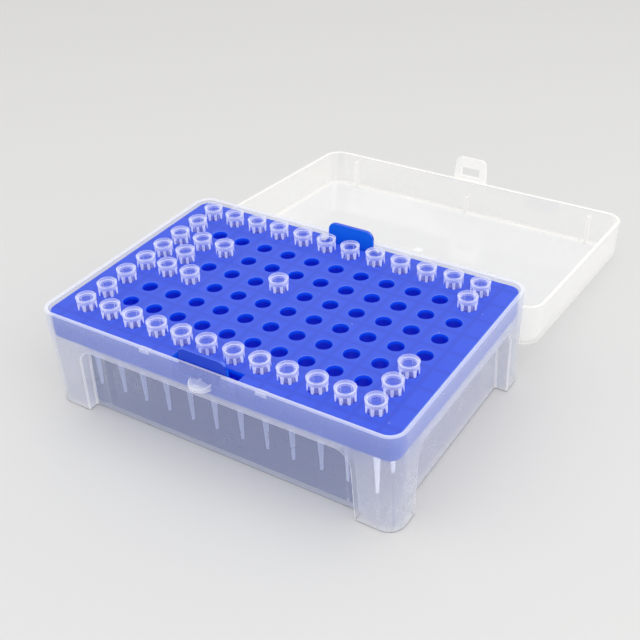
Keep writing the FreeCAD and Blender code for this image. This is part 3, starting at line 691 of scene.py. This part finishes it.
def blue_satin(name, finish, sheen, painted_side_colour):
    """The tray's satin blue, with sink lines, grain, dust, a painted highlight on rounded rims and painted
    shade along the sink lines. The holes' walls get painted shade and a painted glow in place of the light that
    comes through the plate; the other side faces get painted light, and the tabs' outer faces painted shade. A
    lamp's light comes through blue."""
    made, tree, out = new_material(name)
    position = object_position(tree)
    texture = use(tree, effect("moulding_grain"), Position=position, Grain_size=0.00035, Waviness=0.8)
    marks = wear_marks(tree, position, 0.5, 0.0034, 0.22, 0.03)
    marks["grain"] = texture["Mask"]
    sunk = use(tree, effect("sink_lines"), Position=position, Pitch=finish.pitch, Width=0.0013)["Depth"]
    rough = weighed(tree, finish.roughness, marks, {
        "grain": 0.10, "smudges": -0.08, "dust": 0.3, "scratches": -0.10})
    height = maths(tree, "SUBTRACT", texture["Height"], maths(tree, "MULTIPLY", sunk, SUNK_DEPTH))
    bump = node(tree, "ShaderNodeBump", {"Strength": 0.5, "Distance": 0.00003, "Height": height}).outputs[0]
    top = mix(tree, noise(tree, position, 60.0, detail=2.0),
              tuple(SHADED_SHARE * part for part in finish.colour), finish.colour)
    up = looks_up(tree)
    level = ramp(tree, up, *LEVEL)
    parts = node(tree, "ShaderNodeSeparateXYZ", {0: position}).outputs
    depth = maths(tree, "SUBTRACT", TRAY_HIGH.z - finish.tab_height, parts["Z"])
    within = ramp(tree, depth, 0.0001, 0.0003)
    for axis, edge in (("X", TRAY_HIGH.x), ("Y", -TRAY_LOW.y)):
        within = maths(tree, "MULTIPLY", within, ramp(
            tree, maths(tree, "ABSOLUTE", parts[axis]), edge - EDGE_STRIP, edge - 0.75 * EDGE_STRIP, 1.0, 0.0))
    # Painted light and shade: side faces get the painted side colour, the holes' walls the painted hole shade
    flat = mix(tree, level, mix(tree, within, painted_side_colour, finish.painted_hole_shade), top)
    # Painted highlight: rounded rims and chamfers, such as the holes' edges, get a lighter blue
    rim = maths(tree, "MULTIPLY", ramp(tree, up, *ROUNDED), ramp(tree, up, *NOT_ROUNDED, 1.0, 0.0))
    skin = mix(tree, maths(tree, "MULTIPLY", rim, RIM_HIGHLIGHT_SHARE), flat, RIM_HIGHLIGHT_COLOUR)
    # Painted shade: level faces turn darker along the sink lines, on top of their bump
    skin = mix(tree, maths(tree, "MULTIPLY", maths(tree, "MULTIPLY", sunk, level), SINK_SHADE_SHARE), skin,
               SINK_SHADE_COLOUR)
    specked = mix(tree, maths(tree, "MULTIPLY", marks["dust"], DUST_SHARE), skin, DUST_COLOUR)
    # Painted glow on the holes' walls: an emission, brighter near the top, in place of light that comes through
    inside_hole = maths(tree, "MULTIPLY", within,
                        ramp(tree, maths(tree, "ABSOLUTE", up), *NOT_UPRIGHT, 1.0, 0.0))
    near_top = ramp(tree, depth, 0.3 * finish.plate, 1.1 * finish.plate, 1.0, 0.0)
    shine = mix(tree, inside_hole, BLACK, mix(tree, near_top, finish.painted_deep_glow, finish.painted_top_glow))
    body = node(tree, "ShaderNodeBsdfPrincipled", {
        "Base Color": specked, "Roughness": rough, "Normal": bump, "IOR": 1.5, "Specular IOR Level": sheen,
        "Emission Color": shine, "Emission Strength": 1.0}).outputs[0]
    rays = tree.nodes.new("ShaderNodeLightPath").outputs
    tree.links.new(blend(tree, rays["Is Shadow Ray"], body, transparent(tree, finish.lamp_light)),
                   out.inputs["Surface"])
    made.cycles.emission_sampling = "NONE"
    return made


def floor_paint(stage):
    """The pale floor, with painted shade that makes it a little darker and warmer behind the box. Far off,
    painted light fades it to the surround's shade.
    """
    made, tree, out = new_material("Studio floor")
    position = object_position(tree)
    parts = node(tree, "ShaderNodeSeparateXYZ", {0: position}).outputs
    depth = maths(tree, "ADD", maths(tree, "MULTIPLY", parts["Y"], FLOOR_AWAY["Y"]),
                  maths(tree, "MULTIPLY", parts["X"], FLOOR_AWAY["X"]))
    # Painted shade: the floor darkens towards the back
    colour = mix(tree, ramp(tree, depth, *FLOOR_TURNS), stage.floor_near, stage.painted_shade_floor_far)
    reach = node(tree, "ShaderNodeVectorMath", {0: position}, operation="LENGTH").outputs["Value"]
    # Painted light: far off, the floor turns lighter, to the surround's shade
    colour = mix(tree, ramp(tree, reach, *FLOOR_FADES), colour, PAINTED_LIGHT_FAR_FLOOR)
    body = node(tree, "ShaderNodeBsdfPrincipled", {
        "Base Color": colour, "Roughness": 0.65, "Specular IOR Level": 0.25}).outputs[0]
    tree.links.new(body, out.inputs["Surface"])
    return made


def dress(name, slot, material, *others):
    """Gives a CAD node its finish; slot is not used. Each of others is a finish and a test that picks its faces
    by how tightly they curve, by their normals and by their centres; a later one goes over an earlier one."""
    piece = frame["nodes"][name]
    mesh = piece.data
    mesh.materials.clear()
    mesh.materials.append(material)
    bends, normals, centres = face_bends(mesh), face_vectors(mesh, "normal"), face_vectors(mesh, "center")
    which = np.zeros(len(mesh.polygons), np.int32)
    for number, (finish, pick) in enumerate(others, 1):
        mesh.materials.append(finish)
        which[pick(bends, normals, centres)] = number
    mesh.polygons.foreach_set("material_index", which)


# ------------------------ operators


class TIPBOX_OT_base(bpy.types.Operator):
    """Finish the clear base."""

    bl_idname = "tipbox.base"
    bl_label = "Finish the base"

    def execute(self, context):
        finish = context.scene.tipbox_base
        clear, rounded = clear_makers("base", finish, grain=0.0005, scratches=0.2, smudges=0.04)
        rim = BASE_HIGH.z - HAIR
        outside = np.array((finish.half_length, finish.half_width))

        def behind(centres, across):
            """How far each face's centre lies behind the wall that looks along that axis."""
            return outside[across] - np.abs(centres[:, across])

        def lumps(bends, normals, centres):
            sunk = np.minimum(behind(centres, 0), behind(centres, 1))
            ledges = (np.abs(normals[:, 2]) > ALONG) & (sunk < finish.step_depth + PLAY) & (
                np.abs(centres[:, 2] - finish.ledge_height) < LEDGE_PLAY)
            return ledges | (behind(centres, 1) < -HAIR)

        def panels(bends, normals, centres):
            depth = behind(centres, 1)
            return (depth > finish.step_depth - WALL_PLAY) & (depth < finish.step_depth + WALL_PLAY) & (
                np.abs(normals[:, 1]) > ALONG) & (centres[:, 2] < finish.ledge_height)

        def steps(bends, normals, centres):
            found = np.zeros(len(bends), bool)
            for across, along in ((1, 0), (0, 1)):
                depth = behind(centres, across)
                found |= (depth > PLAY) & (depth < finish.step_depth + PLAY) & (
                    np.abs(normals[:, across]) < ACROSS) & (behind(centres, along) > FOOT_REACH)
            return found & (centres[:, 2] < finish.ledge_height + 0.0003) & (centres[:, 2] > 0.0005)

        def edges(bends, normals, centres):
            rim_faces = (normals[:, 2] > SQUARE_ON) & (centres[:, 2] > rim)
            return (bends > finish.edge_bend) | rim_faces

        # Painted contact shadow: faces whose centres lie this low
        def soles(bends, normals, centres):
            return (centres[:, 2] < finish.contact_shadow_height) & (normals[:, 2] > -0.95)

        dress("base", "clear_base",
              clear("plastic", finish.cloudiness, finish.tint),
              # Painted shade on the sunken panels
              (clear("panels", finish.cloudiness, finish.panel_shade_tint, passed=finish.panel_shade_passed), panels),
              (clear("steps", finish.step_glow, finish.tint), steps),
              (clear("lumps", finish.lump_glow, finish.edge_tint, both=True), lumps),
              (rounded("edges", finish.edge_glow), edges),
              # Painted contact shadow along the edge that meets the table
              (clear("soles", finish.contact_shadow_share, finish.contact_shadow_tint, shine=DULL_SHINE), soles))
        return {"FINISHED"}


class TIPBOX_OT_tray(bpy.types.Operator):
    """Finish the blue tray."""

    bl_idname = "tipbox.tray"
    bl_label = "Finish the tray"

    def execute(self, context):
        finish = context.scene.tipbox_tray

        def tabs(bends, normals, centres):
            return (np.abs(normals[:, 2]) < ACROSS) & (
                centres[:, 2] > TRAY_HIGH.z - finish.tab_height + 0.0003)

        # Painted shade on the tabs' outer faces
        def outer(bends, normals, centres):
            return tabs(bends, normals, centres) & (normals[:, 1] * centres[:, 1] > 0)

        dress("tray", "blue_tray", blue_satin("Blue satin plastic", finish, 0.5, finish.painted_side_colour),
              (blue_satin("Blue satin tabs", finish, finish.tab_sheen, finish.painted_side_colour), tabs),
              (blue_satin("Blue satin tab backs painted shade", finish, finish.tab_sheen, finish.painted_outer_shade), outer))
        return {"FINISHED"}


def shut(centres):
    """Points on the open lid, moved to where they are when the lid is shut."""
    hinge = frame["joints"][0]
    axis = Vector(hinge["axis"])
    turn = np.array(Matrix.Rotation(math.radians(hinge["range_deg"][1]), 3, axis))
    pivot = np.array(hinge["pos_m"])
    return (centres - pivot) @ turn.T + pivot


class TIPBOX_OT_lid(bpy.types.Operator):
    """Finish the clear lid."""

    bl_idname = "tipbox.lid"
    bl_label = "Finish the lid"

    def execute(self, context):
        finish = context.scene.tipbox_lid
        middle = (LID_LOW + LID_HIGH) / 2
        clear, rounded = clear_makers("lid", finish, grain=0.0006, scratches=0.5, smudges=0.04)

        def walls(bends, normals, centres):
            return np.abs(normals[:, 2]) < ACROSS

        def edges(bends, normals, centres):
            return bends > finish.edge_bend

        def corners(bends, normals, centres):
            return bends > finish.corner_bend

        def tongue(bends, normals, centres):
            return shut(centres)[:, 2] < finish.rim_height

        dress("lid", "clear_lid",
              clear("plastic", finish.cloudiness, finish.tint, gate=tuple(middle)),
              (clear("walls", finish.wall_glow, finish.edge_tint), walls),
              (rounded("corners", finish.corner_glow), corners),
              (rounded("edges", finish.edge_glow), edges),
              (clear("tongue", finish.step_glow, finish.edge_tint), tongue))
        return {"FINISHED"}


class TIPBOX_OT_tips(bpy.types.Operator):
    """Finish every tip that stands in the tray."""

    bl_idname = "tipbox.tips"
    bl_label = "Finish the tips"

    def execute(self, context):
        finish = context.scene.tipbox_tips
        clear, rounded = clear_makers("tip", finish, grain=0.0003, scratches=0.2, smudges=0.04)
        wall = clear("plastic", finish.cloudiness, finish.tint)
        band = clear("bands", finish.band_glow, finish.edge_tint)
        rim = rounded("rims", finish.edge_glow)
        # The tubes carry a painted glow
        tube = clear("tubes", finish.tube_glow, finish.tube_tint, ROUGH_SKIN, piped=finish.piped_light)
        names = sorted(n for n in frame["nodes"] if n.startswith("tip_"))
        if not names:
            raise RuntimeError("the tray holds no tips")
        seat = TRAY_HIGH.z - context.scene.tipbox_tray.tab_height

        def reach(centres):
            """How far each face's centre lies from the tip's axis."""
            axis = (centres.max(0) + centres.min(0)) / 2
            return np.hypot(centres[:, 0] - axis[0], centres[:, 1] - axis[1])

        def bands(bends, normals, centres):
            return centres[:, 2] > seat + finish.band_height

        def ribs(bends, normals, centres):
            return (centres[:, 2] > seat - 0.0001) & (centres[:, 2] < seat + finish.band_height) & (
                reach(centres) > finish.core_radius)

        def rims(bends, normals, centres):
            level = np.abs(normals[:, 2]) > SQUARE_ON
            return ((bends > finish.edge_bend) | level) & (centres[:, 2] > seat + finish.band_height)

        def tubes(bends, normals, centres):
            return centres[:, 2] < TRAY_LOW.z

        for name in names:
            dress(name, "clear_tip", wall, (band, bands), (rim, ribs), (rim, rims), (tube, tubes))
        return {"FINISHED"}


def soft_lamp(name, place, power):
    """A square area lamp at place that faces the box."""
    data = bpy.data.lights.new(name, "AREA")
    data.shape = "SQUARE"
    data.size = LAMP_SIZE
    data.energy = power
    lamp = bpy.data.objects.new(name, data)
    lamp.location = place
    lamp.rotation_euler = (Vector(LAMP_TARGET) - Vector(place)).to_track_quat("-Z", "Y").to_euler()
    bpy.context.scene.collection.objects.link(lamp)


class TIPBOX_OT_stage(bpy.types.Operator):
    """Set the floor, the soft lamps, the surround and the camera."""

    bl_idname = "tipbox.stage"
    bl_label = "Set the stage"

    def execute(self, context):
        stage = context.scene.tipbox_stage
        scene = context.scene
        self.lay_floor(stage)
        self.light(scene, stage)
        self.place_camera(scene, stage)
        scene.view_settings.view_transform = "Standard"
        scene.cycles.max_bounces = 24
        scene.cycles.transmission_bounces = 20
        scene.cycles.transparent_max_bounces = 40
        return {"FINISHED"}

    def lay_floor(self, stage):
        """A wide disc at height 0."""
        mesh = bpy.data.meshes.new("Floor")
        turns = [math.tau * k / FLOOR_SIDES for k in range(FLOOR_SIDES)]
        rim = [(FLOOR_RADIUS * math.cos(turn), FLOOR_RADIUS * math.sin(turn), 0.0) for turn in turns]
        mesh.from_pydata(rim, [], [tuple(range(FLOOR_SIDES))])
        mesh.materials.append(floor_paint(stage))
        floor = bpy.data.objects.new("Floor", mesh)
        bpy.context.scene.collection.objects.link(floor)

    def light(self, scene, stage):
        """Three soft lamps, and a pale surround that looks a little darker than it shines."""
        for name, place, share in LAMPS:
            soft_lamp(name, place, stage.key_power * share)
        world = bpy.data.worlds.new("Surround")
        world.use_nodes = True
        tree = world.node_tree
        tree.nodes.clear()
        rays = tree.nodes.new("ShaderNodeLightPath").outputs
        seen = maths(tree, "MAXIMUM", rays["Is Camera Ray"],
                     maths(tree, "MAXIMUM", rays["Is Glossy Ray"], rays["Is Transmission Ray"]))
        lit = node(tree, "ShaderNodeBackground", {"Color": WHITE, "Strength": stage.sky_level}).outputs[0]
        shown = node(tree, "ShaderNodeBackground", {
            "Color": SHOWN_SURROUND, "Strength": SHOWN_STRENGTH}).outputs[0]
        out = tree.nodes.new("ShaderNodeOutputWorld")
        tree.links.new(blend(tree, seen, lit, shown), out.inputs["Surface"])
        scene.world = world

    def place_camera(self, scene, stage):
        """The camera in front of the box, to its right and above it."""
        data = bpy.data.cameras.new("Camera")
        data.sensor_width = SENSOR_WIDTH
        data.lens = LENS
        data.clip_start = 0.01
        data.clip_end = 20.0
        camera = bpy.data.objects.new("Camera", data)
        right = Vector(CAMERA_RIGHT).normalized()
        ahead = Vector(CAMERA_AHEAD).normalized()
        up = right.cross(ahead).normalized()
        right = ahead.cross(up).normalized()
        turned = Matrix((right, up, -ahead)).transposed()
        camera.matrix_world = Matrix.Translation((*CAMERA_PLACE, stage.camera_height)) @ turned.to_4x4()
        scene.collection.objects.link(camera)
        scene.camera = camera


class TIPBOX_PT_panel(bpy.types.Panel):
    """The tip box's finishes and stage."""

    bl_idname = "TIPBOX_PT_panel"
    bl_label = "Tip Box"
    bl_space_type = "VIEW_3D"
    bl_region_type = "UI"
    bl_category = "Tip Box"

    def draw(self, context):
        for maker, settings in STEPS:
            box = self.layout.box()
            box.operator(maker.bl_idname)
            group_of = getattr(context.scene, settings)
            for key in group_of.bl_rna.properties.keys():
                if key not in ("rna_type", "name"):
                    box.prop(group_of, key)


STEPS = (
    (TIPBOX_OT_base, "tipbox_base"),
    (TIPBOX_OT_tray, "tipbox_tray"),
    (TIPBOX_OT_lid, "tipbox_lid"),
    (TIPBOX_OT_tips, "tipbox_tips"),
    (TIPBOX_OT_stage, "tipbox_stage"),
)
SETTINGS = {
    "tipbox_base": BaseFinish,
    "tipbox_tray": TrayFinish,
    "tipbox_lid": LidFinish,
    "tipbox_tips": TipFinish,
    "tipbox_stage": StageSettings,
}
CLASSES = (*SETTINGS.values(), *(maker for maker, _ in STEPS), TIPBOX_PT_panel)


def register():
    for made in CLASSES:
        bpy.utils.register_class(made)
    for name, made in SETTINGS.items():
        setattr(bpy.types.Scene, name, bpy.props.PointerProperty(type=made))


def unregister():
    for name in SETTINGS:
        delattr(bpy.types.Scene, name)
    for made in reversed(CLASSES):
        bpy.utils.unregister_class(made)


def main():
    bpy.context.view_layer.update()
    register()
    for maker, _ in STEPS:
        area, name = maker.bl_idname.split(".")
        getattr(getattr(bpy.ops, area), name)()


if __name__ == "__main__":
    main()
